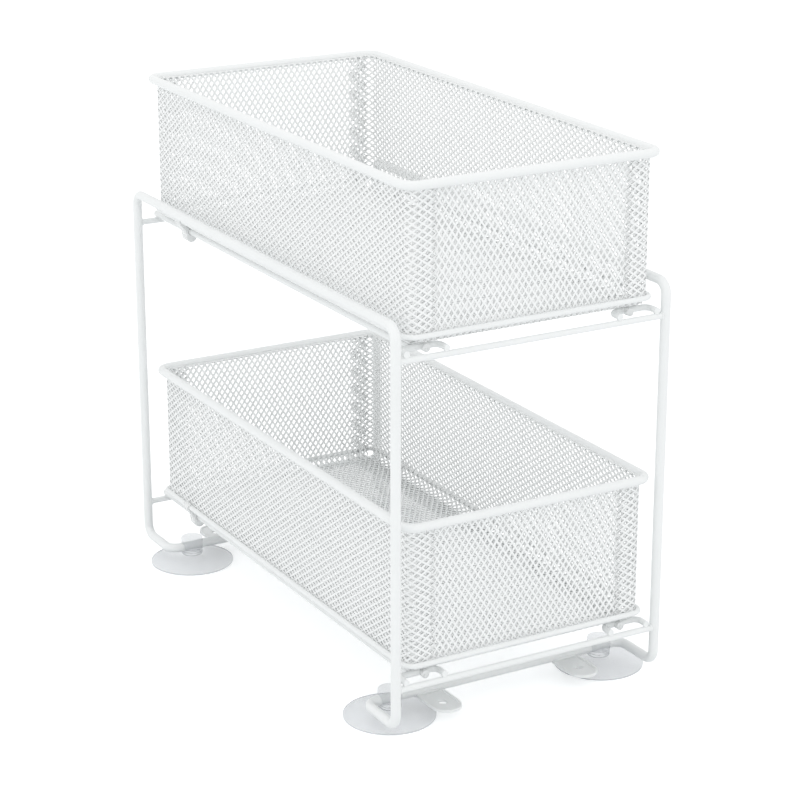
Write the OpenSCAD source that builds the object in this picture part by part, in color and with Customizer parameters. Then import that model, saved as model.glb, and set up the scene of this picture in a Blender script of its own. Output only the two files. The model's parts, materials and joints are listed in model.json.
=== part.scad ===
// Two-tier pull-out cabinet basket: a bent-wire stand that carries two sliding mesh baskets.
// Lengths are in millimetres. +X is right, -Y is the front that the baskets pull out of, +Z is up.
// The origin lies on the floor under the middle of the stand.

/* [Stand] */
// Distance between the left and right leg centres
stand_w = 165; // [150:1:240]
// Distance between the front and rear leg centres
stand_d = 315; // [260:1:400]
// Height from the foot wire's centre to the side rail's centre
side_h = 220; // [190:1:300]
// Height of the foot wire's centre over the floor
foot_z = 10; // [9.5:0.5:13]
// Diameter of the side frames' and foot bars' wire
wire_d = 5.5; // [4:0.5:6]
// Diameter of the crossbars' wire
crossbar_d = 3.5; // [3:0.5:4.5]
// Centre-line radius of each bend in the stand's wire
bend_r = 7; // [6:0.5:10]
// How far each foot bar is set back from its pair of legs
foot_inset = 32.5; // [28:0.5:40]
// Drop from the side rail's centre to the upper crossbars' centre
rail_over_bar = 18.2; // [14:0.2:26]
// Rise from the foot wire's centre to the lower crossbars' centre
lower_bar_rise = 20.8; // [18:0.2:30]
// Gap that the weld fills where the end of one wire meets the side of another
weld_gap = 0.1; // [0.05:0.05:0.2]

/* [Guide rods] */
// Diameter of a guide rod
guide_d = 4; // [3:0.5:4.5]
// Distance from a leg's centre in to the outer guide rod
outer_guide_inset = 13.2; // [12.6:0.2:18]
// Distance between the outer and inner guide rods of one side
guide_gap = 7; // [6.8:0.2:14]
// How far a guide rod runs past the rear crossbar's centre
guide_overhang = 1; // [0:0.5:2]

/* [Stop loops] */
// Diameter of the loop's wire
loop_d = 3.5; // [3:0.5:4.5]
// Distance from a leg's centre in to the loop's outer arm
loop_outer_inset = 6; // [5.6:0.2:7]
// Distance between the loop's outer and inner arms
loop_w = 23.5; // [20:0.5:34]
// Distance from the front crossbar's centre back to the loop's cross part
loop_setback = 8; // [7.6:0.2:14]
// Centre-line radius of the loop's two bends
loop_bend_r = 4; // [3:0.5:5]
// How far the loop's arms run past the front crossbar's centre
loop_overhang = 1; // [0:0.5:2]
// Diameter of the nylon button on the loop
button_d = 4.4; // [4:0.1:4.5]
// How far the button stands forward of the loop's wire
button_l = 2.6; // [1.5:0.1:3]

/* [Baskets] */
// Distance from a leg's centre in to the rim wire's centre
rim_inset = 6.5; // [6:0.1:9]
// Length of a basket from the front rim wire to the rear one
basket_l = 307; // [240:1:307]
// Height from the bottom ring wire to the rim wire
basket_h = 78.5; // [50:0.5:95]
// Height of the bottom ring wire over the underside of the mesh floor
ring_rise = 4.85; // [3.5:0.05:6]
// Diameter of the rim wire
rim_d = 5; // [4:0.5:6]
// Diameter of the bottom ring wire
ring_d = 3; // [2.5:0.1:3.5]
// Radius of the rim wire's corners, on its centre-line
corner_r = 7.5; // [7.2:0.1:14]
// Thickness of the expanded-metal sheet
mesh_t = 1; // [0.8:0.1:1.2]
// Outer radius where the mesh walls turn into the mesh floor
floor_bend_r = 4; // [3:0.1:4]
// Openings along the length of the mesh
grid_along = 12; // [6:1:12]
// Openings across the width of the mesh
grid_across = 6; // [3:1:6]
// Openings up the height of the mesh walls
grid_up = 3; // [1:1:4]
// Width of the mesh between two openings
grid_bar = 5; // [4:0.5:8]
// Gap between the guide rods and the mesh floor that slides on them
slide_gap = 0.3; // [0.2:0.05:0.5]

/* [Rear slide clips] */
// Distance from the rear rim wire forward to the middle of the clip
clip_from_rear = 37; // [20:1:90]
// Length of a clip along its rod
clip_l = 10; // [5:0.5:14]
// Wall of the clip round the guide rod
clip_wall = 2.2; // [1.8:0.1:2.3]
// Wall of the clip round the bottom ring wire
clip_top_wall = 1.5; // [1:0.1:2]
// Running gap between a clip and its guide rod
clip_gap = 0.3; // [0.2:0.05:0.4]
// Width of the snap slot in the clip over the rod
clip_slot = 2.6; // [2:0.1:3]
// How far the clip's heel hangs under the guide rod
clip_heel = 4.4; // [3:0.1:4.6]
// Radius of the heel
clip_heel_r = 3.2; // [2.6:0.1:3.4]
// Gap between a clip and the mesh beside it
clip_mesh_gap = 0.1; // [0.05:0.05:0.2]

/* [Suction cups] */
// Diameter of a cup's disc
cup_d = 51; // [44:1:56]
// Distance from a leg's centre in to the cup's centre
cup_inset = 14.6; // [14:0.2:20]
// Thickness of the disc at its edge
cup_edge_t = 0.9; // [0.7:0.1:1.4]
// Height of the disc where it meets the neck
cup_dome_h = 3.2; // [2.6:0.1:3.4]
// Diameter of the neck
cup_neck_d = 8.6; // [7:0.2:10]
// Diameter of the collar ring round the foot of the neck
cup_collar_d = 11; // [10.4:0.2:12]
// Diameter of the head that the foot bar passes through
cup_head_d = 13.4; // [12:0.2:13.6]
// Wall of the head under the foot bar
cup_head_under = 2.4; // [1.8:0.1:2.6]
// Wall of the head over the foot bar
cup_head_over = 3.2; // [2:0.1:4]
// Rounding of the head's top and bottom edges
cup_head_edge = 1; // [0.5:0.1:1.4]
// Width of the flat sealing face round the disc's underside
cup_seal_w = 8; // [5:0.5:12]
// Depth of the hollow under the disc
cup_hollow_h = 1.2; // [0.8:0.1:1.4]
// Clearance of the head's cross hole round the foot bar
cup_hole_gap = 0.05; // [0.02:0.01:0.1]

/* [Screw tabs] */
// Distance from a leg's centre in to the tab's centre
tab_inset = 38.5; // [32:0.5:50]
// Width of a tab
tab_w = 17; // [14:0.5:20]
// Distance from the foot bar's centre out to the screw hole
tab_reach = 16; // [12:0.5:18]
// Distance from the screw hole to the tab's tip
tab_tip = 12; // [10:0.5:14]
// Diameter of the screw hole
tab_hole_d = 4.5; // [3.5:0.1:5.5]
// Thickness of a tab
tab_t = 1.2; // [1:0.1:1.5]
// Height of the pressed lip round the tab's edge
tab_lip_h = 0.5; // [0.3:0.1:0.8]
// Width of the pressed lip
tab_lip_w = 1.4; // [1:0.1:2]

/* [Hidden] */
$fn = 48;

powder_coat = [0.93, 0.94, 0.94];
mesh_coat = [0.88, 0.9, 0.9];
clear_vinyl = [0.78, 0.8, 0.82, 0.6];
nylon = [0.92, 0.94, 0.94, 0.85];

left = -1;
right = 1;
front = -1;
rear = 1;

leg_x = stand_w / 2;
leg_y = stand_d / 2;
foot_y = leg_y - foot_inset;
rail_z = foot_z + side_h;
upper_bar_z = rail_z - rail_over_bar;
lower_bar_z = foot_z + lower_bar_rise;

// The foot bar meets the side frames just inboard of their last bend.
foot_stub = 0.5;
foot_joint_x = leg_x - bend_r - foot_stub;

// Heights over the crossbars' centre, which are the same on both tiers.
guide_h = crossbar_d / 2 + guide_d / 2;
loop_h = crossbar_d / 2 + loop_d / 2;
floor_h = guide_h + guide_d / 2 + slide_gap;
ring_h = floor_h + ring_rise;
rim_h = ring_h + basket_h;

outer_guide_x = leg_x - outer_guide_inset;
inner_guide_x = outer_guide_x - guide_gap;
loop_x = leg_x - loop_outer_inset;
loop_y = -leg_y + loop_setback;
guide_front_y = loop_y + loop_d / 2 + weld_gap;

// The mesh stands inside the rim wire and inside the ring wire, and touches both.
rim_x = leg_x - rim_inset;
rim_front_y = -leg_y;
rim_rear_y = rim_front_y + basket_l;
mesh_x = rim_x - rim_d / 2;
mesh_front_y = rim_front_y + rim_d / 2;
mesh_rear_y = rim_rear_y - rim_d / 2;
mesh_corner_r = corner_r - rim_d / 2;
ring_x = mesh_x + ring_d / 2;
clip_y = rim_rear_y - clip_from_rear;

cup_x = leg_x - cup_inset;
tab_x = leg_x - tab_inset;
eps = 0.01;

// A wire along points whose turns are all square, with every turn bent to radius r.
module wire(points, d, r) {
    last = len(points) - 1;
    for (i = [0 : last - 1]) {
        step = points[i + 1] - points[i];
        run = norm(step);
        along = step / run;
        trim_start = i == 0 ? 0 : r;
        trim_end = i == last - 1 ? 0 : r;
        straight(points[i] + along * trim_start, along, run - trim_start - trim_end, d);
    }
    for (i = [1 : last - 1])
        bend(points[i], unit(points[i] - points[i - 1]), unit(points[i + 1] - points[i]), d, r);
}

// A closed rounded-rectangle loop of wire, lying flat at height z.
module wire_loop(x, front_y, rear_y, z, d, r) {
    corners = [[-x, front_y, z], [x, front_y, z], [x, rear_y, z], [-x, rear_y, z]];
    for (i = [0 : 3]) {
        before = corners[(i + 3) % 4];
        here = corners[i];
        after = corners[(i + 1) % 4];
        ahead = unit(after - here);
        straight(here + ahead * r, ahead, norm(after - here) - 2 * r, d);
        bend(here, unit(here - before), ahead, d, r);
    }
}

// A straight rod of diameter d and length l from a point along a unit direction.
module straight(from, along, l, d) {
    side = abs(along[2]) > 0.5 ? [1, 0, 0] : [0, 0, 1];
    place(from, cross(side, along), side * -1, along)
        cylinder(d = d, h = l);
}

// A quarter bend at a corner point, from direction go_in to direction go_out.
module bend(corner, go_in, go_out, d, r) {
    place(corner + (go_out - go_in) * r, -go_out, go_in, cross(-go_out, go_in))
        rotate_extrude(angle = 90)
            translate([r, 0])
                circle(d = d);
}

// Moves its children to a point and turns them onto three unit axes.
module place(at, x, y, z) {
    multmatrix([
        [x[0], y[0], z[0], at[0]],
        [x[1], y[1], z[1], at[1]],
        [x[2], y[2], z[2], at[2]],
        [0, 0, 0, 1]
    ])
        children();
}

function unit(v) = v / norm(v);

// One side of the stand: the top rail, both legs and the feet that turn in to the foot bars.
module side_frame(side) {
    x = side * leg_x;
    color(powder_coat)
        wire([
            [side * foot_joint_x, -foot_y, foot_z],
            [x, -foot_y, foot_z],
            [x, -leg_y, foot_z],
            [x, -leg_y, rail_z],
            [x, leg_y, rail_z],
            [x, leg_y, foot_z],
            [x, foot_y, foot_z],
            [side * foot_joint_x, foot_y, foot_z]
        ], wire_d, bend_r);
}

// The bar across the feet, which carries the suction cups and the screw tabs.
module foot_bar(end) {
    color(powder_coat)
        straight([-foot_joint_x, end * foot_y, foot_z], [1, 0, 0], 2 * foot_joint_x, wire_d);
}

// A bar between two legs, with its ends coped to the legs' round.
module crossbar(end, z) {
    color(powder_coat)
        difference() {
            straight([-leg_x, end * leg_y, z], [1, 0, 0], 2 * leg_x, crossbar_d);
            for (side = [left, right])
                translate([side * leg_x, end * leg_y, z - crossbar_d])
                    cylinder(d = wire_d + 2 * weld_gap, h = 2 * crossbar_d);
        }
}

// A rod that a basket slides along, from the stop loop back over the rear crossbar.
module guide_rod(x, bar_z) {
    color(powder_coat)
        straight([x, guide_front_y, bar_z + guide_h], [0, 1, 0],
            leg_y + guide_overhang - guide_front_y, guide_d);
}

// The bent wire on the front crossbar that carries a pair of guide rods and stops the slide clip.
module stop_loop(side, bar_z) {
    front_y = -leg_y - loop_overhang;
    outer_x = side * loop_x;
    inner_x = side * (loop_x - loop_w);
    z = bar_z + loop_h;
    color(powder_coat)
        wire([[outer_x, front_y, z], [outer_x, loop_y, z], [inner_x, loop_y, z], [inner_x, front_y, z]],
            loop_d, loop_bend_r);
}

// The nylon button on the front of the loop, in line with the inner guide rod.
module stop_button(side, bar_z) {
    at = [side * inner_guide_x, loop_y, bar_z + loop_h];
    color(nylon)
        difference() {
            straight(at, [0, -1, 0], loop_d / 2 + button_l, button_d);
            straight(at - [button_d, 0, 0], [1, 0, 0], 2 * button_d, loop_d);
        }
}

// The round of the cup, from the floor up: sealing face, hollow, disc, collar, neck and head.
module cup_outline() {
    disc_r = cup_d / 2;
    neck_r = cup_neck_d / 2;
    collar_r = cup_collar_d / 2;
    head_r = cup_head_d / 2;
    head_low = foot_z - wire_d / 2 - cup_head_under;
    head_top = foot_z + wire_d / 2 + cup_head_over;
    polygon([
        [0, cup_hollow_h],
        [disc_r - cup_seal_w, 0],
        [disc_r, 0],
        [disc_r, cup_edge_t],
        [collar_r, cup_dome_h - (cup_dome_h - cup_edge_t) * 0.2],
        [collar_r, cup_dome_h],
        [neck_r, cup_dome_h],
        [neck_r, head_low],
        [head_r - cup_head_edge, head_low],
        [head_r, head_low + cup_head_edge],
        [head_r, head_top - cup_head_edge],
        [head_r - cup_head_edge, head_top],
        [0, head_top]
    ]);
}

// A clear suction cup whose head is threaded on the foot bar.
module suction_cup(side, end) {
    hole_d = wire_d + 2 * cup_hole_gap;
    color(clear_vinyl)
        translate([side * cup_x, end * foot_y, 0])
            difference() {
                rotate_extrude()
                    cup_outline();
                straight([-cup_head_d, 0, foot_z], [1, 0, 0], 2 * cup_head_d, hole_d);
            }
}

// The tab's plan: square at the foot bar, half round at the tip, drawn reaching towards -Y.
module tab_plan(margin) {
    r = tab_w / 2 - margin;
    tip_y = -(tab_reach + tab_tip - tab_w / 2);
    root_y = -wire_d * 0.3 - margin;
    translate([0, tip_y])
        circle(r = r);
    translate([-r, tip_y])
        square([2 * r, root_y - tip_y]);
}

// A pressed steel tab welded to the foot bar, with a hole for a screw into the shelf.
module screw_tab(side, end) {
    color(powder_coat)
        translate([side * tab_x, end * foot_y, foot_z - wire_d / 2])
            rotate([0, 0, end == front ? 0 : 180])
                difference() {
                    linear_extrude(tab_t + tab_lip_h)
                        tab_plan(0);
                    translate([0, 0, tab_t])
                        linear_extrude(tab_lip_h + eps)
                            tab_plan(tab_lip_w);
                    translate([0, -tab_reach, -eps])
                        cylinder(d = tab_hole_d, h = tab_t + 2 * eps);
                    straight([-tab_w, 0, wire_d / 2], [1, 0, 0], 2 * tab_w, wire_d);
                }
}

// Section through a mesh wall and the edge of the floor, with the wall's outer face at x = 0
// and the basket's inside towards -x. The floor part is reach long.
module wall_section(reach) {
    top = rim_h - floor_h;
    outer = [for (a = [0 : 15 : 90])
        [-floor_bend_r + floor_bend_r * cos(a), floor_bend_r - floor_bend_r * sin(a)]];
    inner_r = floor_bend_r - mesh_t;
    inner = [for (a = [90 : -15 : 0])
        [-floor_bend_r + inner_r * cos(a), floor_bend_r - inner_r * sin(a)]];
    polygon(concat([[0, top]], outer, [[-reach, 0], [-reach, mesh_t]], inner, [[-mesh_t, top]]));
}

// One mesh wall, from the middle of its length, standing at distance out from the basket's middle.
module mesh_wall(length, reach) {
    rotate([90, 0, 0])
        translate([0, 0, -length / 2])
            linear_extrude(length)
                wall_section(reach);
}

// A grid of plain openings, w by l, centred on the origin and cutting depth deep.
module grid_cuts(w, l, columns, rows, depth) {
    for (i = [0 : columns - 1], j = [0 : rows - 1])
        translate([((i + 0.5) / columns - 0.5) * w, ((j + 0.5) / rows - 0.5) * l, 0])
            cube([w / columns - grid_bar, l / rows - grid_bar, depth], center = true);
}

// The mesh tray: a thin sheet with rounded corners and floor edge, opened by a coarse grid that
// stands for the fine diamonds of the expanded metal.
module basket_mesh(bar_z) {
    color(mesh_coat)
        translate([0, (mesh_front_y + mesh_rear_y) / 2, bar_z + floor_h])
            difference() {
                mesh_shell();
                mesh_openings();
            }
}

// The openings of the floor, of the long walls and of the short walls. Those of the floor keep
// between the inner guide rods, so that a plain strip slides on each pair of rods.
module mesh_openings() {
    low = ring_rise + ring_d / 2;
    high = rim_h - floor_h - rim_d / 2;
    wall_x = 2 * (mesh_x - mesh_corner_r);
    wall_y = mesh_rear_y - mesh_front_y - 2 * mesh_corner_r;
    floor_x = 2 * inner_guide_x - guide_d;
    grid_cuts(floor_x, wall_y, grid_across, grid_along, 4 * mesh_t);
    translate([0, 0, (low + high) / 2]) {
        rotate([0, 90, 0])
            grid_cuts(high - low, wall_y, grid_up, grid_along, 3 * mesh_x);
        rotate([90, 0, 0])
            grid_cuts(wall_x, high - low, grid_across, grid_up, 2 * basket_l);
    }
}

// The whole sheet of the tray, centred on the origin with its underside at height 0.
module mesh_shell() {
    half_l = (mesh_rear_y - mesh_front_y) / 2;
    wall_x = 2 * (mesh_x - mesh_corner_r);
    wall_y = 2 * (half_l - mesh_corner_r);
    for (turn = [0, 180])
        rotate([0, 0, turn]) {
            translate([mesh_x, 0, 0])
                mesh_wall(wall_y, mesh_corner_r);
            rotate([0, 0, 90])
                translate([half_l, 0, 0])
                    mesh_wall(wall_x, mesh_corner_r);
        }
    for (corner = [[1, 1, 0], [-1, 1, 90], [-1, -1, 180], [1, -1, 270]])
        translate([corner[0] * wall_x / 2, corner[1] * wall_y / 2, 0])
            rotate([0, 0, corner[2]])
                rotate_extrude(angle = 90)
                    translate([mesh_corner_r, 0])
                        wall_section(mesh_corner_r);
    translate([-wall_x / 2, -wall_y / 2, 0])
        cube([wall_x, wall_y, mesh_t]);
}

// The thick wire round the top of a basket.
module basket_rim(bar_z) {
    color(powder_coat)
        wire_loop(rim_x, rim_front_y, rim_rear_y, bar_z + rim_h, rim_d, corner_r);
}

// The thin wire round the outside of a basket, just over its floor.
module basket_ring(bar_z) {
    color(powder_coat)
        wire_loop(ring_x, mesh_front_y - ring_d / 2, mesh_rear_y + ring_d / 2, bar_z + ring_h, ring_d,
            mesh_corner_r + ring_d / 2);
}

// A nylon clip that snaps on the ring wire and runs round the outer guide rod under the mesh floor.
module slide_clip(side, bar_z) {
    sleeve_r = guide_d / 2 + clip_gap + clip_wall;
    top_r = ring_d / 2 + clip_top_wall;
    face_x = mesh_x + clip_mesh_gap;
    under_h = floor_h - clip_mesh_gap;
    color(nylon)
        translate([0, clip_y + clip_l / 2, bar_z])
            scale([side, 1, 1])
                rotate([90, 0, 0])
                    linear_extrude(clip_l)
                        difference() {
                            union() {
                                translate([outer_guide_x, guide_h])
                                    circle(r = sleeve_r);
                                translate([outer_guide_x, guide_h - guide_d / 2 - clip_heel + clip_heel_r])
                                    circle(r = clip_heel_r);
                                translate([ring_x, ring_h])
                                    circle(r = top_r);
                                translate([outer_guide_x, guide_h - guide_d / 2])
                                    square([ring_x + top_r - outer_guide_x, ring_h - guide_h + guide_d / 2]);
                            }
                            translate([outer_guide_x, guide_h])
                                circle(r = guide_d / 2 + clip_gap);
                            translate([outer_guide_x - clip_slot / 2, guide_h])
                                square([clip_slot, sleeve_r]);
                            translate([ring_x, ring_h])
                                circle(d = ring_d);
                            translate([0, under_h])
                                square([mesh_x - floor_bend_r, basket_h]);
                            translate([0, floor_h + floor_bend_r])
                                square([face_x, basket_h]);
                            translate([mesh_x - floor_bend_r, floor_h + floor_bend_r])
                                circle(r = floor_bend_r + clip_mesh_gap);
                        }
}

module left_side_frame() side_frame(left);
module right_side_frame() side_frame(right);
module front_foot_bar() foot_bar(front);
module rear_foot_bar() foot_bar(rear);
module upper_front_crossbar() crossbar(front, upper_bar_z);
module upper_rear_crossbar() crossbar(rear, upper_bar_z);
module lower_front_crossbar() crossbar(front, lower_bar_z);
module lower_rear_crossbar() crossbar(rear, lower_bar_z);
module upper_left_outer_guide() guide_rod(-outer_guide_x, upper_bar_z);
module upper_left_inner_guide() guide_rod(-inner_guide_x, upper_bar_z);
module upper_right_inner_guide() guide_rod(inner_guide_x, upper_bar_z);
module upper_right_outer_guide() guide_rod(outer_guide_x, upper_bar_z);
module lower_left_outer_guide() guide_rod(-outer_guide_x, lower_bar_z);
module lower_left_inner_guide() guide_rod(-inner_guide_x, lower_bar_z);
module lower_right_inner_guide() guide_rod(inner_guide_x, lower_bar_z);
module lower_right_outer_guide() guide_rod(outer_guide_x, lower_bar_z);
module upper_left_stop_loop() stop_loop(left, upper_bar_z);
module upper_right_stop_loop() stop_loop(right, upper_bar_z);
module lower_left_stop_loop() stop_loop(left, lower_bar_z);
module lower_right_stop_loop() stop_loop(right, lower_bar_z);
module upper_left_stop_button() stop_button(left, upper_bar_z);
module upper_right_stop_button() stop_button(right, upper_bar_z);
module lower_left_stop_button() stop_button(left, lower_bar_z);
module lower_right_stop_button() stop_button(right, lower_bar_z);
module front_left_suction_cup() suction_cup(left, front);
module front_right_suction_cup() suction_cup(right, front);
module rear_left_suction_cup() suction_cup(left, rear);
module rear_right_suction_cup() suction_cup(right, rear);
module front_left_screw_tab() screw_tab(left, front);
module front_right_screw_tab() screw_tab(right, front);
module rear_left_screw_tab() screw_tab(left, rear);
module rear_right_screw_tab() screw_tab(right, rear);
module upper_basket_mesh() basket_mesh(upper_bar_z);
module upper_basket_rim() basket_rim(upper_bar_z);
module upper_basket_ring() basket_ring(upper_bar_z);
module upper_left_slide_clip() slide_clip(left, upper_bar_z);
module upper_right_slide_clip() slide_clip(right, upper_bar_z);
module lower_basket_mesh() basket_mesh(lower_bar_z);
module lower_basket_rim() basket_rim(lower_bar_z);
module lower_basket_ring() basket_ring(lower_bar_z);
module lower_left_slide_clip() slide_clip(left, lower_bar_z);
module lower_right_slide_clip() slide_clip(right, lower_bar_z);

left_side_frame();
right_side_frame();
front_foot_bar();
rear_foot_bar();
upper_front_crossbar();
upper_rear_crossbar();
lower_front_crossbar();
lower_rear_crossbar();
upper_left_outer_guide();
upper_left_inner_guide();
upper_right_inner_guide();
upper_right_outer_guide();
lower_left_outer_guide();
lower_left_inner_guide();
lower_right_inner_guide();
lower_right_outer_guide();
upper_left_stop_loop();
upper_right_stop_loop();
lower_left_stop_loop();
lower_right_stop_loop();
upper_left_stop_button();
upper_right_stop_button();
lower_left_stop_button();
lower_right_stop_button();
front_left_suction_cup();
front_right_suction_cup();
rear_left_suction_cup();
rear_right_suction_cup();
front_left_screw_tab();
front_right_screw_tab();
rear_left_screw_tab();
rear_right_screw_tab();
upper_basket_mesh();
upper_basket_rim();
upper_basket_ring();
upper_left_slide_clip();
upper_right_slide_clip();
lower_basket_mesh();
lower_basket_rim();
lower_basket_ring();
lower_left_slide_clip();
lower_right_slide_clip();
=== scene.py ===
"""Two-tier pull-out cabinet basket, dressed for a product photograph.

The bent wires, the screw tabs and the stop buttons are the loaded parts with their finish added. The
expanded-metal trays, the suction cups, the slide clips and the weld beads are made here. Lengths are in
metres.
"""
import json
import math

import bmesh
import bpy
from mathutils import Matrix, Vector, noise


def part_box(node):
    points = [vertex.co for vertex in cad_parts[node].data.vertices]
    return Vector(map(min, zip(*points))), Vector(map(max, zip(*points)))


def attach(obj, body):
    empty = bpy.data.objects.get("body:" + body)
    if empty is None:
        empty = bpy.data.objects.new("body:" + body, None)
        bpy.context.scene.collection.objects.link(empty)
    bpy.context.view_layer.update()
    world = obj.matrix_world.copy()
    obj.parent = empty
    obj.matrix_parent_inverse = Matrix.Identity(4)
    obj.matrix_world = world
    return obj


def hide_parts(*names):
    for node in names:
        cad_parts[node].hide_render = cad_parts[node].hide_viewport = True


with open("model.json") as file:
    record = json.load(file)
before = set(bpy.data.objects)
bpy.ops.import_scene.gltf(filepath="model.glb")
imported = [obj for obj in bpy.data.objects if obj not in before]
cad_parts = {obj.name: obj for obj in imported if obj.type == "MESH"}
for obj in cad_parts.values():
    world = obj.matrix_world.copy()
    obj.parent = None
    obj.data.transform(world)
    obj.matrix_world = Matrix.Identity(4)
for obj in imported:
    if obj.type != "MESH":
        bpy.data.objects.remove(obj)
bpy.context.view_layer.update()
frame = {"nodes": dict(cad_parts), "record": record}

MM = 0.001


# ---------------------------------------------------------------- camera

# The photograph's view: from the front left, about 19 degrees down, with a long lens.
PHOTO_PIXELS = 800
FOCAL_PIXELS = 2474.8
VIEW_TURN = math.radians(29.743)
VIEW_DOWN = math.radians(18.924)

camera_data = bpy.data.cameras.new("product_camera")
camera_data.sensor_width = 36
camera_data.lens = FOCAL_PIXELS / PHOTO_PIXELS * camera_data.sensor_width
camera_data.clip_end = 20
camera = bpy.data.objects.new("product_camera", camera_data)
bpy.context.scene.collection.objects.link(camera)
looking = Vector((
    math.sin(VIEW_TURN) * math.cos(VIEW_DOWN),
    math.cos(VIEW_TURN) * math.cos(VIEW_DOWN),
    -math.sin(VIEW_DOWN),
))
camera.location = (-0.66467, -1.18077, 0.59573)
camera.rotation_euler = looking.to_track_quat("-Z", "Y").to_euler()
bpy.context.scene.camera = camera


# ---------------------------------------------------------------- finishes

def linear(hex_colour):
    """An sRGB hex colour as a linear RGBA value."""
    channels = [int(hex_colour[i:i + 2], 16) / 255 for i in (1, 3, 5)]
    return [c / 12.92 if c <= 0.04045 else ((c + 0.055) / 1.055) ** 2.4 for c in channels] + [1.0]


def add(tree, kind, inputs=None, **settings):
    """Adds a node with its settings. An input is given as a value, or as the socket that feeds it."""
    node = tree.nodes.new(kind)
    for name, value in settings.items():
        setattr(node, name, value)
    for name, value in (inputs or {}).items():
        if isinstance(value, bpy.types.NodeSocket):
            tree.links.new(value, node.inputs[name])
        else:
            node.inputs[name].default_value = value
    return node


def new_finish(name):
    """An empty material, its node tree and its output node."""
    finish = bpy.data.materials.new(name)
    finish.use_nodes = True
    tree = finish.node_tree
    tree.nodes.clear()
    return finish, tree, add(tree, "ShaderNodeOutputMaterial")


# Polyester powder coat, sprayed on steel wire and baked: an opaque, slightly cool white with a satin
# gloss. The coat levels to a faint orange peel about 2.5 mm from crest to crest.
def make_powder_coat(name, colour, shade, roughness):
    finish, tree, out = new_finish(name)
    place = add(tree, "ShaderNodeTexCoord").outputs["Object"]
    peel = add(tree, "ShaderNodeTexNoise", {"Vector": place, "Scale": 1 / (2.5 * MM), "Detail": 1.0})
    # The coat is a little thicker and whiter in some places than in others, over some 30 mm.
    cover = add(tree, "ShaderNodeTexNoise", {"Vector": place, "Scale": 1 / (30 * MM), "Detail": 2.0})
    tint = add(tree, "ShaderNodeMix", {
        "Factor": cover.outputs["Fac"], "A": linear(shade), "B": linear(colour)}, data_type="RGBA")
    gloss = add(tree, "ShaderNodeMapRange", {
        "Value": peel.outputs["Fac"], "To Min": roughness - 0.05, "To Max": roughness + 0.05})
    bump = add(tree, "ShaderNodeBump", {
        "Height": peel.outputs["Fac"], "Strength": 0.25, "Distance": 0.05 * MM})
    coat = add(tree, "ShaderNodeBsdfPrincipled", {
        "Base Color": tint.outputs["Result"], "Roughness": gloss.outputs["Result"],
        "Normal": bump.outputs["Normal"], "IOR": 1.5})
    tree.links.new(coat.outputs["BSDF"], out.inputs["Surface"])
    return finish


powder_coat = make_powder_coat("white_powder_coat", "#F3F5F5", "#EFF1F1", 0.34)
mesh_coat = make_powder_coat("white_powder_coat_on_mesh", "#FAFBFB", "#F5F7F7", 0.42)


# Plasticised vinyl, injection moulded: see-through with a grey tint, a little hazy, and a wet gloss.
def make_clear_vinyl():
    finish, tree, out = new_finish("clear_moulded_vinyl")
    place = add(tree, "ShaderNodeTexCoord").outputs["Object"]
    haze = add(tree, "ShaderNodeTexNoise", {"Vector": place, "Scale": 1 / (6 * MM), "Detail": 2.0})
    gloss = add(tree, "ShaderNodeMapRange", {
        "Value": haze.outputs["Fac"], "To Min": 0.1, "To Max": 0.22})
    tint = add(tree, "ShaderNodeMix", {
        "Factor": haze.outputs["Fac"], "A": linear("#C4C9CF"), "B": linear("#D0D4D9")}, data_type="RGBA")
    cloud = add(tree, "ShaderNodeMapRange", {
        "Value": haze.outputs["Fac"], "To Min": 0.2, "To Max": 0.26})
    # The edge of the disc and the grooves of the head are painted darker and less clear there: painted
    # shade that stands in for the dark edge of the clear vinyl and the shade in its grooves.
    rim = add(tree, "ShaderNodeAttribute", attribute_name="rim").outputs["Fac"]
    painted_shade_tint = add(tree, "ShaderNodeMix", {
        "Factor": rim, "A": tint.outputs["Result"], "B": linear("#A3A8B0")}, data_type="RGBA")
    painted_shade_cloud = add(tree, "ShaderNodeMix", {"Factor": rim, "A": cloud.outputs["Result"], "B": 0.6})
    vinyl = add(tree, "ShaderNodeBsdfPrincipled", {
        "Base Color": painted_shade_tint.outputs["Result"], "Roughness": gloss.outputs["Result"],
        "IOR": 1.53, "Alpha": painted_shade_cloud.outputs["Result"]})
    tree.links.new(vinyl.outputs["BSDF"], out.inputs["Surface"])
    return finish


clear_vinyl = make_clear_vinyl()


# Natural nylon, injection moulded: milky and waxy, and light passes a little way into it.
def make_nylon():
    finish, tree, out = new_finish("natural_moulded_nylon")
    place = add(tree, "ShaderNodeTexCoord").outputs["Object"]
    milk = add(tree, "ShaderNodeTexNoise", {"Vector": place, "Scale": 1 / (4 * MM), "Detail": 2.0})
    gloss = add(tree, "ShaderNodeMapRange", {
        "Value": milk.outputs["Fac"], "To Min": 0.22, "To Max": 0.34})
    tint = add(tree, "ShaderNodeMix", {
        "Factor": milk.outputs["Fac"], "A": linear("#F1F3F3"), "B": linear("#F7F8F8")}, data_type="RGBA")
    nylon = add(tree, "ShaderNodeBsdfPrincipled", {
        "Base Color": tint.outputs["Result"], "Roughness": gloss.outputs["Result"],
        "IOR": 1.53, "Transmission Weight": 0.1})
    tree.links.new(nylon.outputs["BSDF"], out.inputs["Surface"])
    return finish


nylon = make_nylon()


# ---------------------------------------------------------------- finishing a piece

def make_piece(name, shape, finish, body, stands_for=()):
    """Turns a shape into a smooth-shaded piece of the object that rides on a body."""
    mesh = bpy.data.meshes.new(name)
    shape.to_mesh(mesh)
    shape.free()
    mesh.materials.append(finish)
    mesh.polygons.foreach_set("use_smooth", [True] * len(mesh.polygons))
    piece = bpy.data.objects.new(name, mesh)
    bpy.context.scene.collection.objects.link(piece)
    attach(piece, body)
    if stands_for:
        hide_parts(*stands_for)
    return piece


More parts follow.
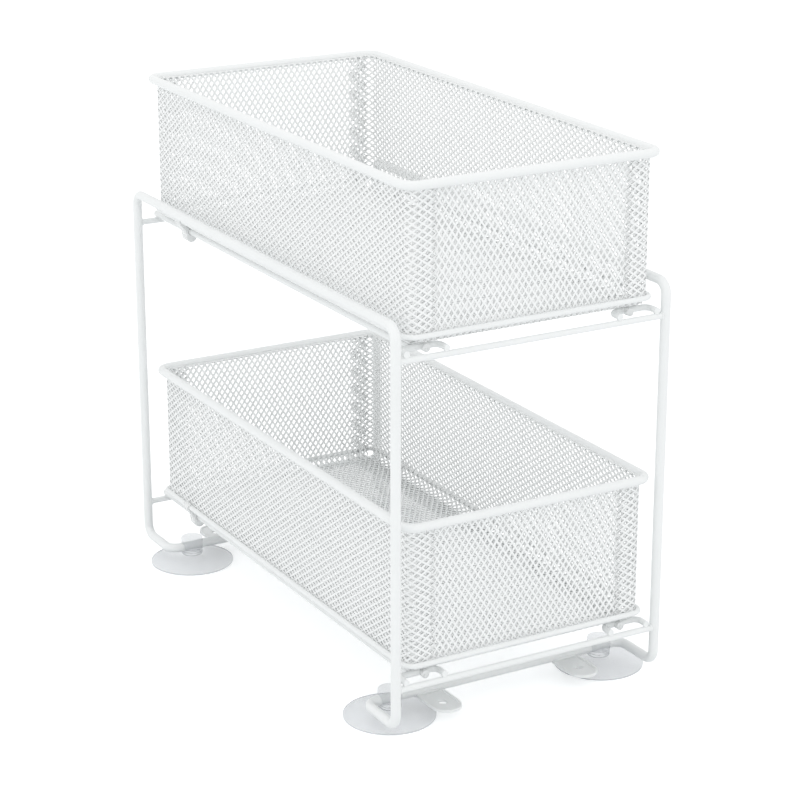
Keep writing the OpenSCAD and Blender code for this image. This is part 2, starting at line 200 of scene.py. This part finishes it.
# ---------------------------------------------------------------- expanded-metal trays

# Each tray is one blank of expanded steel, folded up at its four sides. The diamonds are long from
# front to rear in the blank, so they stand upright in the end walls and lie along the side walls.
DIAMOND_SHORT = 3.85 * MM
DIAMOND_LONG = 5.7 * MM
STRAND_W = 1.08 * MM
SHEET_T = 0.7 * MM
TRAY_CORNER_R = 5 * MM
FLOOR_BEND_R = 4 * MM
LAP = 16 * MM
# The end walls lie inside the laps of the side walls, by one sheet and a little play.
LAP_STEP = 1.2 * SHEET_T
# A cell is inset by half a strand, so one whose inner radius is under this share of one stays closed.
SLIVER = 0.65
# The strands wander a little from a perfect lattice.
WANDER = 0.08 * MM
WANDER_SPAN = 7 * MM
# Without a seed the noise starts from the clock, and every run would give another sheet.
noise.seed_set(7)


def diamond_blank(half_u, half_v):
    """A flat sheet of touching diamonds round the origin that covers both half widths."""
    sheet = bmesh.new()
    for shift in (0, 0.5):
        cell = bmesh.ops.create_circle(sheet, cap_ends=True, segments=4, radius=0.5)["verts"]
        bmesh.ops.scale(sheet, vec=(DIAMOND_SHORT, DIAMOND_LONG, 1), verts=cell)
        bmesh.ops.translate(sheet, vec=(shift * DIAMOND_SHORT, shift * DIAMOND_LONG, 0), verts=cell)
    columns = 2 * math.ceil(half_u / DIAMOND_SHORT)
    rows = 2 * math.ceil(half_v / DIAMOND_LONG)
    for step, count in (((DIAMOND_SHORT, 0, 0), columns), ((0, DIAMOND_LONG, 0), rows)):
        bmesh.ops.spin(
            sheet, geom=sheet.verts[:] + sheet.edges[:] + sheet.faces[:], cent=(0, 0, 0), axis=(0, 0, 1),
            dvec=step, angle=0, steps=count, use_duplicate=True)
    middle = Vector((-columns / 2 * DIAMOND_SHORT, -rows / 2 * DIAMOND_LONG, 0))
    bmesh.ops.translate(sheet, vec=middle, verts=sheet.verts)
    bmesh.ops.remove_doubles(sheet, verts=sheet.verts, dist=0.01 * MM)
    return sheet


def keep_cells(sheet, wanted):
    """Keeps the diamonds whose middle is wanted, so that every seam runs along the strands."""
    middles = {face: face.calc_center_median() for face in sheet.faces}
    unwanted = [face for face, at in middles.items() if not wanted(abs(at.x), abs(at.y))]
    bmesh.ops.delete(sheet, geom=unwanted, context="FACES")


def trim(sheet, outward, reach):
    """Cuts off what lies further than reach to one side."""
    bmesh.ops.bisect_plane(
        sheet, geom=sheet.verts[:] + sheet.edges[:] + sheet.faces[:], dist=0.02 * MM,
        plane_co=outward * reach, plane_no=outward, clear_outer=True)


def open_cells(sheet):
    """Opens every diamond and leaves half a strand inside each of its edges. Slivers stay closed."""
    cells = [f for f in sheet.faces if 2 * f.calc_area() / f.calc_perimeter() > SLIVER * STRAND_W]
    bmesh.ops.inset_individual(sheet, faces=cells, thickness=STRAND_W / 2, use_even_offset=True)
    bmesh.ops.delete(sheet, geom=cells, context="FACES_ONLY")


def fold(t, bend_start, bend_r):
    """How far out and how high a point lies that is t from the middle of the blank."""
    past = max(0, abs(t) - bend_start)
    turn = min(past / bend_r, math.pi / 2)
    out = min(abs(t), bend_start) + bend_r * math.sin(turn)
    up = bend_r * (1 - math.cos(turn)) + max(0, past - bend_r * math.pi / 2)
    return math.copysign(out, t), up


def finish_sheet(name, sheet, low_middle, body, node):
    """Sets a folded sheet in its place, gives it its thickness inwards and makes it a piece."""
    for v in sheet.verts:
        v.co += noise.noise_vector(v.co / WANDER_SPAN) * WANDER
    bmesh.ops.translate(sheet, vec=low_middle, verts=sheet.verts)
    bmesh.ops.recalc_face_normals(sheet, faces=sheet.faces)
    bmesh.ops.solidify(sheet, geom=sheet.faces[:], thickness=SHEET_T)
    bmesh.ops.recalc_face_normals(sheet, faces=sheet.faces)
    make_piece(name, sheet, mesh_coat, body, (node,))


def mesh_tray(node, body):
    """The tray of one basket, its floor and end walls first, then its side walls with their laps."""
    low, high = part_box(node)
    half_x, half_y = (high.x - low.x) / 2, (high.y - low.y) / 2
    low_middle = Vector(((low.x + high.x) / 2, (low.y + high.y) / 2, low.z))
    bend_x, bend_y = half_x - FLOOR_BEND_R, half_y - FLOOR_BEND_R
    bend_l = FLOOR_BEND_R * math.pi / 2
    wall_l = bend_l + high.z - low.z - FLOOR_BEND_R
    end_r = FLOOR_BEND_R - LAP_STEP
    end_l = wall_l + (FLOOR_BEND_R - end_r) - (FLOOR_BEND_R - end_r) * math.pi / 2
    straight = half_y - TRAY_CORNER_R
    corner_l = TRAY_CORNER_R * math.pi / 2
    wrap = straight + corner_l + LAP - TRAY_CORNER_R

    ends = diamond_blank(bend_x + bend_l, bend_y + end_l)
    keep_cells(ends, lambda u, v: (
        u < bend_x + bend_l / 2 if v < bend_y else u < half_x - TRAY_CORNER_R))
    for outward in (Vector((0, 1, 0)), Vector((0, -1, 0))):
        trim(ends, outward, bend_y + end_l)
    open_cells(ends)
    for v in ends.verts:
        x, up_x = fold(v.co.x, bend_x, FLOOR_BEND_R)
        y, up_y = fold(v.co.y, bend_y, end_r)
        v.co = (x, y, up_x + up_y)
    finish_sheet(body + "_mesh_floor_and_ends", ends, low_middle, body, node)

    sides = diamond_blank(bend_x + wall_l, wrap)
    keep_cells(sides, lambda u, v: (
        u > bend_x + bend_l / 2 and v < straight) or (u > bend_x + bend_l and straight <= v < wrap))
    for outward in (Vector((1, 0, 0)), Vector((-1, 0, 0))):
        trim(sides, outward, bend_x + wall_l)
    open_cells(sides)
    for v in sides.verts:
        x, up = fold(v.co.x, bend_x, FLOOR_BEND_R)
        y, inward = fold(v.co.y, straight, TRAY_CORNER_R)
        v.co = (x - math.copysign(inward, x), y, up)
    finish_sheet(body + "_mesh_sides", sides, low_middle, body, node)


mesh_tray("upper_basket_mesh", "upper_basket")
mesh_tray("lower_basket_mesh", "lower_basket")


# ---------------------------------------------------------------- suction cups

# Half section of a cup in mm, radius and height: the sealing face and its hollow, the thin disc with a
# rolled edge, the foot of the neck, and the ribbed head that the foot bar runs through.
CUP_SECTION = (
    (0, 1.2), (9, 1.1), (17.5, 0.05), (25.2, 0.02), (25.44, 0.2), (25.48, 0.5), (25.35, 0.85), (25, 1),
    (24.6, 0.95), (24.2, 0.92), (16, 1.3), (9.5, 1.75), (7.2, 2.2), (6, 2.9), (5.5, 3.15), (4.8, 3.3),
    (4.35, 3.7), (4.35, 4.7), (5.2, 4.95), (6.2, 5.05), (6.5, 5.4), (6.5, 6.3), (6.1, 6.6), (6.1, 6.9),
    (6.5, 7.2), (6.5, 8.2), (6.1, 8.5), (6.1, 8.8), (6.55, 9.1), (6.7, 9.5), (6.7, 15), (6.45, 15.65),
    (5.9, 15.9), (4, 15.95), (0, 15.95),
)

# Where painted shade darkens the vinyl: outside this radius on the disc, and in the grooves of the head.
DISC_EDGE_R = 25.4 * MM
RIBS_LOW = 4.8 * MM
RIBS_HIGH = 9 * MM
RIB_GROOVE_R = 6.4 * MM


def suction_cup(node):
    """One clear cup, spun about its own upright axis."""
    low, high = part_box(node)
    cup = bmesh.new()
    section = [cup.verts.new((r * MM, 0, z * MM)) for r, z in CUP_SECTION]
    outline = [cup.edges.new(pair) for pair in zip(section, section[1:])]
    bmesh.ops.spin(
        cup, geom=section + outline, cent=(0, 0, 0), axis=(0, 0, 1), angle=2 * math.pi, steps=96,
        use_merge=True)
    bmesh.ops.remove_doubles(cup, verts=cup.verts, dist=0.005 * MM)
    bmesh.ops.recalc_face_normals(cup, faces=cup.faces)
    # Painted shade is marked on the vertices: full past the edge radius of the disc, half in the grooves
    # of the head.
    rim = cup.verts.layers.float.new("rim")
    for v in cup.verts:
        v[rim] = 1.0 if v.co.xy.length > DISC_EDGE_R else 0.0
        if RIBS_LOW < v.co.z < RIBS_HIGH and v.co.xy.length < RIB_GROOVE_R:
            v[rim] = 0.5
    bmesh.ops.translate(cup, vec=((low.x + high.x) / 2, (low.y + high.y) / 2, low.z), verts=cup.verts)
    make_piece(node + "_moulding", cup, clear_vinyl, "stand", (node,))


for end in ("front", "rear"):
    for side in ("left", "right"):
        suction_cup(end + "_" + side + "_suction_cup")


# ---------------------------------------------------------------- slide clips

CLIP_L = 7 * MM
CLIP_EDGE_R = 0.35 * MM


def arc(x, z, radius, start, end, steps):
    """Points along an arc, in mm, with its angles in degrees."""
    angles = [math.radians(start + (end - start) * i / steps) for i in range(steps + 1)]
    return [(x + radius * math.cos(a), z + radius * math.sin(a)) for a in angles]


# Section of a clip in mm from the middle of its guide rod, with the outside towards +x: the sleeve that
# is snapped on the rod from below, its heel, and the hook that grips the ring of the basket.
CLIP_SECTION = (
    arc(0, 0, 2.1, 52, -232, 20) + [(-1.3, 2.15)] + arc(0, 0, 3.6, 143, 185, 4)
    + arc(0, -3.2, 3.2, 180, 360, 12) + [(3.6, -0.6), (4.3, 1.2), (7.2, 4.6)]
    + arc(5.7, 7.15, 2.4, -25, 95, 8) + arc(5.7, 7.15, 1.5, 95, -125, 12)
    + arc(0.2, 6.3, 4.15, -5, -68, 6) + [(1.3, 2.15)]
)


def slide_clip(node, rod_node, body):
    """One nylon clip, extruded along its guide rod with its edges eased."""
    low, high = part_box(node)
    rod_low, rod_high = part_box(rod_node)
    outside = math.copysign(1, low.x)
    clip = bmesh.new()
    section = [clip.verts.new((x * MM, -CLIP_L / 2, z * MM)) for x, z in CLIP_SECTION]
    face = clip.faces.new(section)
    grown = bmesh.ops.extrude_face_region(clip, geom=[face])["geom"]
    moved = [v for v in grown if isinstance(v, bmesh.types.BMVert)]
    bmesh.ops.translate(clip, vec=(0, CLIP_L, 0), verts=moved)
    bmesh.ops.recalc_face_normals(clip, faces=clip.faces)
    ends = [e for e in clip.edges if abs(e.verts[0].co.y - e.verts[1].co.y) < 0.1 * MM]
    bmesh.ops.bevel(
        clip, geom=ends, offset=CLIP_EDGE_R, affect="EDGES", segments=2, profile=0.5, material=-1)
    bmesh.ops.scale(clip, vec=(outside, 1, 1), verts=clip.verts)
    bmesh.ops.recalc_face_normals(clip, faces=clip.faces)
    spot = Vector(((rod_low.x + rod_high.x) / 2, (low.y + high.y) / 2, (rod_low.z + rod_high.z) / 2))
    bmesh.ops.translate(clip, vec=spot, verts=clip.verts)
    piece = make_piece(node + "_moulding", clip, nylon, body, (node,))
    piece.data.set_sharp_from_angle(angle=math.radians(50))


for tier in ("upper", "lower"):
    for side in ("left", "right"):
        stem = tier + "_" + side
        slide_clip(stem + "_slide_clip", stem + "_outer_guide", tier + "_basket")


# ---------------------------------------------------------------- weld beads

def lump(beads, spot, size):
    """A small smooth swelling where two wires are welded."""
    start = len(beads.verts)
    bmesh.ops.create_icosphere(beads, subdivisions=2, radius=0.5)
    beads.verts.ensure_lookup_table()
    bmesh.ops.scale(beads, vec=size, verts=beads.verts[start:])
    bmesh.ops.translate(beads, vec=spot, verts=beads.verts[start:])


def collar(beads, spot, along, ring_r, bead_r):
    """A bead that runs round a wire at its end."""
    start = len(beads.verts)
    bmesh.ops.create_circle(
        beads, segments=8, radius=bead_r,
        matrix=Matrix.Translation((ring_r, 0, 0)) @ Matrix.Rotation(math.pi / 2, 4, "X"))
    beads.verts.ensure_lookup_table()
    ring = beads.verts[start:]
    bmesh.ops.spin(
        beads, geom=ring + list({e for v in ring for e in v.link_edges}), cent=(0, 0, 0), axis=(0, 0, 1),
        angle=2 * math.pi, steps=20, use_merge=True)
    beads.verts.ensure_lookup_table()
    bead = beads.verts[start:]
    turn = Vector((0, 0, 1)).rotation_difference(Vector(along)).to_matrix()
    bmesh.ops.rotate(beads, verts=bead, cent=(0, 0, 0), matrix=turn)
    bmesh.ops.translate(beads, vec=spot, verts=bead)


def middle_of(node):
    """The middle of a loaded part's box."""
    low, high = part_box(node)
    return (low + high) / 2


# A lump is given by its lengths across, along and up. A collar is given by the radius of the ring that
# it runs in, round its wire, and the radius of the bead itself.
LOOP_WELD = (3 * MM, 3 * MM, 1.5 * MM)
ROD_WELD = (3.2 * MM, 2.8 * MM, 1.5 * MM)
TAB_WELD = (14 * MM, 1.6 * MM, 1.5 * MM)
CROSSBAR_COLLAR = (1.6 * MM, 0.75 * MM)
ROD_COLLAR = (1.55 * MM, 0.55 * MM)
FOOT_BAR_COLLAR = (2.5 * MM, 0.5 * MM)
# How far a crossbar's collar lies in from its end, and a loop's weld from the outside of its arm.
COLLAR_INSET = 0.4 * MM
LOOP_ARM_INSET = 1.75 * MM
# Where a tab's weld runs, out from the middle of its foot bar and below it.
TAB_WELD_OUT = 2.7 * MM
TAB_WELD_DOWN = 0.9 * MM


def weld_beads():
    """The resistance and arc welds of the stand, smoothed over by the powder coat."""
    beads = bmesh.new()
    for tier in ("upper", "lower"):
        bars = {end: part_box(tier + "_" + end + "_crossbar") for end in ("front", "rear")}
        for low, high in bars.values():
            for x in (low.x + COLLAR_INSET, high.x - COLLAR_INSET):
                spot = (x, (low.y + high.y) / 2, (low.z + high.z) / 2)
                collar(beads, spot, (1, 0, 0), *CROSSBAR_COLLAR)
        for side in ("left", "right"):
            stem = tier + "_" + side
            loop_low, loop_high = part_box(stem + "_stop_loop")
            rear_y, front_y = (bars[end][0].y / 2 + bars[end][1].y / 2 for end in ("rear", "front"))
            weld_z = bars["front"][1].z
            for x in (loop_low.x + LOOP_ARM_INSET, loop_high.x - LOOP_ARM_INSET):
                lump(beads, (x, front_y, weld_z), LOOP_WELD)
            for rod in ("_outer_guide", "_inner_guide"):
                rod_middle = middle_of(stem + rod)
                lump(beads, (rod_middle.x, rear_y, weld_z), ROD_WELD)
                collar(beads, (rod_middle.x, loop_high.y, rod_middle.z), (0, 1, 0), *ROD_COLLAR)
    for end in ("front", "rear"):
        low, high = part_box(end + "_foot_bar")
        bar = middle_of(end + "_foot_bar")
        for x in (low.x, high.x):
            collar(beads, (x, bar.y, bar.z), (1, 0, 0), *FOOT_BAR_COLLAR)
        for side in ("left", "right"):
            tab = middle_of(end + "_" + side + "_screw_tab")
            out = math.copysign(TAB_WELD_OUT, tab.y)
            lump(beads, (tab.x, bar.y + out, bar.z - TAB_WELD_DOWN), TAB_WELD)
    bmesh.ops.recalc_face_normals(beads, faces=beads.faces)
    make_piece("stand_weld_beads", beads, powder_coat, "stand")


weld_beads()


# ---------------------------------------------------------------- finishes of the loaded parts

FINISHES = {
    "powder_coat": powder_coat,
    "mesh_coat": mesh_coat,
    "clear_vinyl": clear_vinyl,
    "nylon": nylon,
}
slot_of = {s["node"]: s["material_slot"] for s in frame["record"]["subparts"]}
for name, part in frame["nodes"].items():
    part.material_slots[0].material = FINISHES[slot_of[name]]

# The sharp edges of the rods' ends, the loops' arms, the tabs and the buttons are eased.
EASED = {"_guide": 1.0 * MM, "_stop_loop": 0.9 * MM, "_stop_button": 0.7 * MM, "_screw_tab": 0.3 * MM}
for name, part in frame["nodes"].items():
    for ending, ease in EASED.items():
        if name.endswith(ending):
            part.modifiers.new("joined", "WELD").merge_threshold = 0.01 * MM
            eased = part.modifiers.new("eased_edges", "BEVEL")
            eased.width = ease
            eased.segments = 3
            eased.limit_method = "ANGLE"
            eased.angle_limit = math.radians(50)


# ---------------------------------------------------------------- studio

FLOOR_HALF = 6
# The floor lies just under the sealing faces of the cups.
FLOOR_DROP = 0.2 * MM
# How much brighter the floor is to the eye than as a light on the object.
FLOOR_LIFT = 0.46
SURROUND_LIGHT = 0.9
LAMPS_AIM = Vector((0, 0, 0.15))

# Soft boxes: name, place, size and power in watts.
SOFT_BOXES = (
    ("overhead_softbox", (-0.2, -0.3, 1.6), 1.4, 2.5),
    ("front_right_softbox", (1.2, -1.1, 0.7), 0.9, 1.4),
    ("left_softbox", (-1.4, 0.1, 0.5), 0.9, 1.4),
    ("low_front_softbox", (-0.7, -1.4, 0.5), 0.9, 1.4),
)


def seen_directly(tree):
    """A socket that is 1 where the surface is seen straight, in a reflection or through nylon."""
    path = add(tree, "ShaderNodeLightPath").outputs
    seen = add(tree, "ShaderNodeMath", {
        0: path["Is Camera Ray"], 1: path["Is Glossy Ray"]}, operation="MAXIMUM")
    seen = add(tree, "ShaderNodeMath", {
        0: seen.outputs[0], 1: path["Is Transmission Ray"]}, operation="MAXIMUM")
    return seen.outputs[0]


def make_studio():
    """A wide white floor and a soft white surround, lit evenly from above and from both sides."""
    sheet = bmesh.new()
    bmesh.ops.create_grid(sheet, x_segments=1, y_segments=1, size=FLOOR_HALF)
    bmesh.ops.translate(sheet, vec=(0, 0, -FLOOR_DROP), verts=sheet.verts)
    mesh = bpy.data.meshes.new("studio_floor")
    sheet.to_mesh(mesh)
    sheet.free()
    floor = bpy.data.objects.new("studio_floor", mesh)
    bpy.context.scene.collection.objects.link(floor)

    # Matt white paper. The camera sees it a little brighter than it lights the object.
    paper, tree, out = new_finish("matt_white_paper")
    lift = add(tree, "ShaderNodeMath", {0: seen_directly(tree), 1: FLOOR_LIFT}, operation="MULTIPLY")
    matt = add(tree, "ShaderNodeBsdfDiffuse", {"Color": linear("#EDEFF0")})
    glow = add(tree, "ShaderNodeEmission", {"Color": linear("#FFFFFF"), "Strength": lift.outputs[0]})
    both = add(tree, "ShaderNodeAddShader", {0: matt.outputs[0], 1: glow.outputs[0]})
    tree.links.new(both.outputs[0], out.inputs["Surface"])
    mesh.materials.append(paper)

    world = bpy.data.worlds.new("white_surround")
    world.use_nodes = True
    bpy.context.scene.world = world
    tree = world.node_tree
    tree.nodes.clear()
    level = add(tree, "ShaderNodeMapRange", {
        "Value": seen_directly(tree), "To Min": SURROUND_LIGHT, "To Max": 1.0})
    sky = add(tree, "ShaderNodeBackground", {"Color": linear("#FFFFFF"), "Strength": level.outputs[0]})
    out = add(tree, "ShaderNodeOutputWorld")
    tree.links.new(sky.outputs[0], out.inputs["Surface"])

    for name, place, size, power in SOFT_BOXES:
        light = bpy.data.lights.new(name, "AREA")
        light.shape = "SQUARE"
        light.size = size
        light.energy = power
        lamp = bpy.data.objects.new(name, light)
        bpy.context.scene.collection.objects.link(lamp)
        lamp.location = place
        lamp.rotation_euler = (LAMPS_AIM - Vector(place)).to_track_quat("-Z", "Y").to_euler()


make_studio()
bpy.context.scene.view_settings.view_transform = "Standard"
